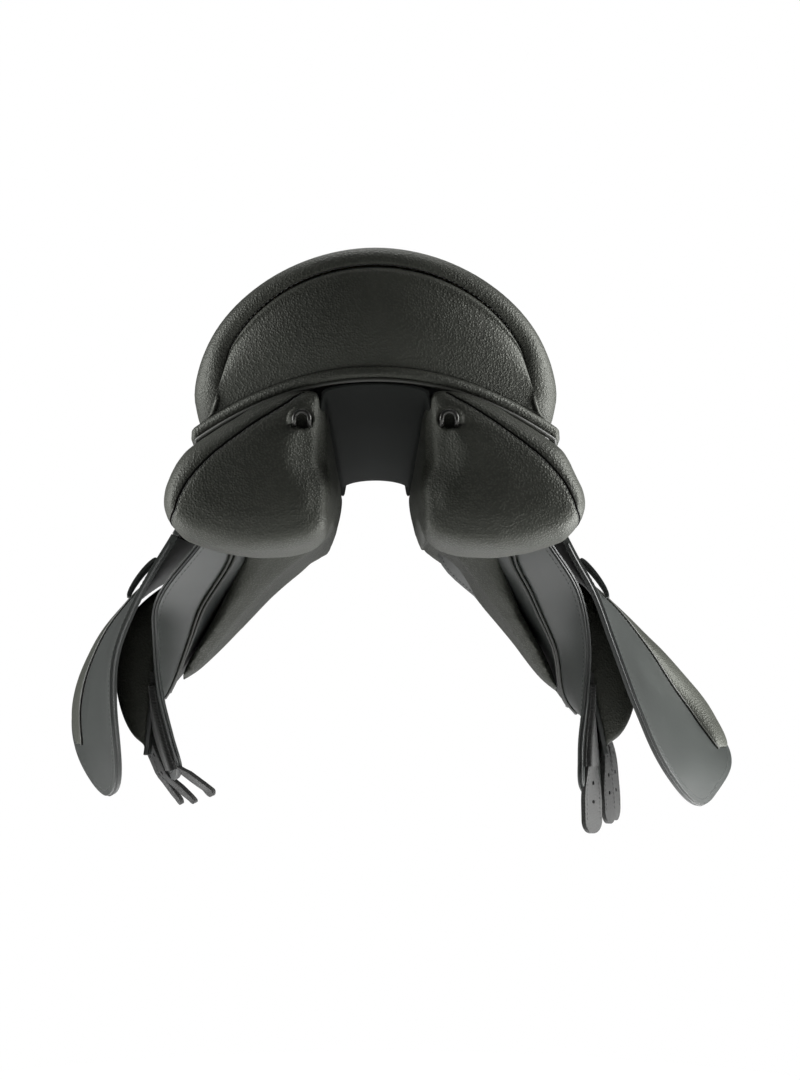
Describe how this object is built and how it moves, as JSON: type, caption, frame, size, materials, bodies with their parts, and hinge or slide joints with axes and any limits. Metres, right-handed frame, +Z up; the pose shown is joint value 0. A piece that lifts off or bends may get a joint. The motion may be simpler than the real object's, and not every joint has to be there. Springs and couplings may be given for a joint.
{
  "type": "english riding saddle",
  "caption": "All-purpose riding saddle with a deep padded seat, bulbed panels, lifting flaps and skirts, stirrup bars with folding catches, girth straps and metal dees.",
  "frame": {"origin": "middle of the gullet at the height of the panels' channel edges, where the saddle bears on the horse's back", "axes": "+Y to the horse's head, +Z up, +X to the rider's right"},
  "size_m": [0.6963, 0.4663, 0.51],
  "materials": {
    "grained_leather": "pebbled grain, satin",
    "smooth_leather": "smooth, light satin",
    "gullet_lining_leather": "matt",
    "webbing": "woven",
    "foam": "open foam",
    "tree": "moulded",
    "steel": "plain"
  },
  "bodies": {
    "saddle_body": {"cantle_facing": "grained_leather", "cantle_piping": "smooth_leather", "cantle_welt": "grained_leather", "gullet_lining": "gullet_lining_leather", "head_plate": "steel", "left_billet_sleeve": "webbing", "left_flap_top": "smooth_leather", "left_front_chape": "smooth_leather", "left_knee_block": "grained_leather", "left_panel": "grained_leather", "left_rear_billet": "webbing", "left_rear_dee": "steel", "left_saddle_nail": "steel", "left_stirrup_bar": "steel", "left_sweat_flap": "smooth_leather", "left_thigh_block": "grained_leather", "pommel_facing": "grained_leather", "right_billet_sleeve": "webbing", "right_flap_top": "smooth_leather", "right_front_chape": "smooth_leather", "right_knee_block": "grained_leather", "right_panel": "grained_leather", "right_rear_billet": "webbing", "right_rear_dee": "steel", "right_saddle_nail": "steel", "right_stirrup_bar": "steel", "right_sweat_flap": "smooth_leather", "right_thigh_block": "grained_leather", "seat_cover": "grained_leather", "seat_foam": "foam", "seat_webbing": "webbing", "tree_frame": "tree"},
    "left_flap_body": {"left_flap": "smooth_leather", "left_knee_pad": "smooth_leather", "left_stirrup_keeper": "smooth_leather"},
    "left_skirt_body": {"left_skirt": "smooth_leather"},
    "left_bar_catch_body": {"left_bar_catch": "steel"},
    "left_front_billet_body": {"left_front_billet": "webbing"},
    "left_middle_billet_body": {"left_middle_billet": "webbing"},
    "left_front_dee_body": {"left_front_dee": "steel"},
    "right_flap_body": {"right_flap": "smooth_leather", "right_knee_pad": "smooth_leather", "right_stirrup_keeper": "smooth_leather"},
    "right_skirt_body": {"right_skirt": "smooth_leather"},
    "right_bar_catch_body": {"right_bar_catch": "steel"},
    "right_front_billet_body": {"right_front_billet": "webbing"},
    "right_middle_billet_body": {"right_middle_billet": "webbing"},
    "right_front_dee_body": {"right_front_dee": "steel"}
  },
  "joints": [
    {"name": "left_flap_lift", "type": "hinge", "parent": "saddle_body", "child": "left_flap_body", "pos_m": [-0.17961, 0.0456, -0.00715], "axis": [0.1191, 0.9929, 0], "range_deg": [0, 100]},
    {"name": "left_skirt_lift", "type": "hinge", "parent": "saddle_body", "child": "left_skirt_body", "pos_m": [-0.10408, 0.05809, 0.06555], "axis": [0.2405, 0.963, 0.1214], "range_deg": [0, 80]},
    {"name": "left_bar_catch_fold", "type": "hinge", "parent": "saddle_body", "child": "left_bar_catch_body", "pos_m": [-0.12421, 0.04972, 0.04296], "axis": [0.9123, 0, 0.4096], "range_deg": [0, 90]},
    {"name": "left_front_billet_swing", "type": "hinge", "parent": "saddle_body", "child": "left_front_billet_body", "pos_m": [-0.08394, 0.08889, 0.03217], "axis": [0, 1, 0], "range_deg": [0, 6]},
    {"name": "left_middle_billet_swing", "type": "hinge", "parent": "saddle_body", "child": "left_middle_billet_body", "pos_m": [-0.09414, 0.05883, 0.03283], "axis": [0, 1, 0], "range_deg": [0, 6]},
    {"name": "left_front_dee_swing", "type": "hinge", "parent": "saddle_body", "child": "left_front_dee_body", "pos_m": [-0.05387, 0.1983, 0.08046], "axis": [0.7994, 0.5471, -0.2484], "range_deg": [0, 80]},
    {"name": "right_flap_lift", "type": "hinge", "parent": "saddle_body", "child": "right_flap_body", "pos_m": [0.16781, 0.04563, -0.00737], "axis": [0.1191, -0.9929, 0], "range_deg": [0, 100]},
    {"name": "right_skirt_lift", "type": "hinge", "parent": "saddle_body", "child": "right_skirt_body", "pos_m": [0.10426, 0.05811, 0.06549], "axis": [0.2405, -0.963, -0.1214], "range_deg": [0, 80]},
    {"name": "right_bar_catch_fold", "type": "hinge", "parent": "saddle_body", "child": "right_bar_catch_body", "pos_m": [0.12084, 0.0498, 0.04241], "axis": [0.89, 0, -0.456], "range_deg": [0, 90]},
    {"name": "right_front_billet_swing", "type": "hinge", "parent": "saddle_body", "child": "right_front_billet_body", "pos_m": [0.08283, 0.08906, 0.03141], "axis": [0, -1, 0], "range_deg": [0, 6]},
    {"name": "right_middle_billet_swing", "type": "hinge", "parent": "saddle_body", "child": "right_middle_billet_body", "pos_m": [0.09349, 0.05899, 0.03235], "axis": [0, -1, 0], "range_deg": [0, 6]},
    {"name": "right_front_dee_swing", "type": "hinge", "parent": "saddle_body", "child": "right_front_dee_body", "pos_m": [0.05387, 0.1983, 0.08046], "axis": [0.7994, -0.5471, 0.2484], "range_deg": [0, 80]}
  ]
}
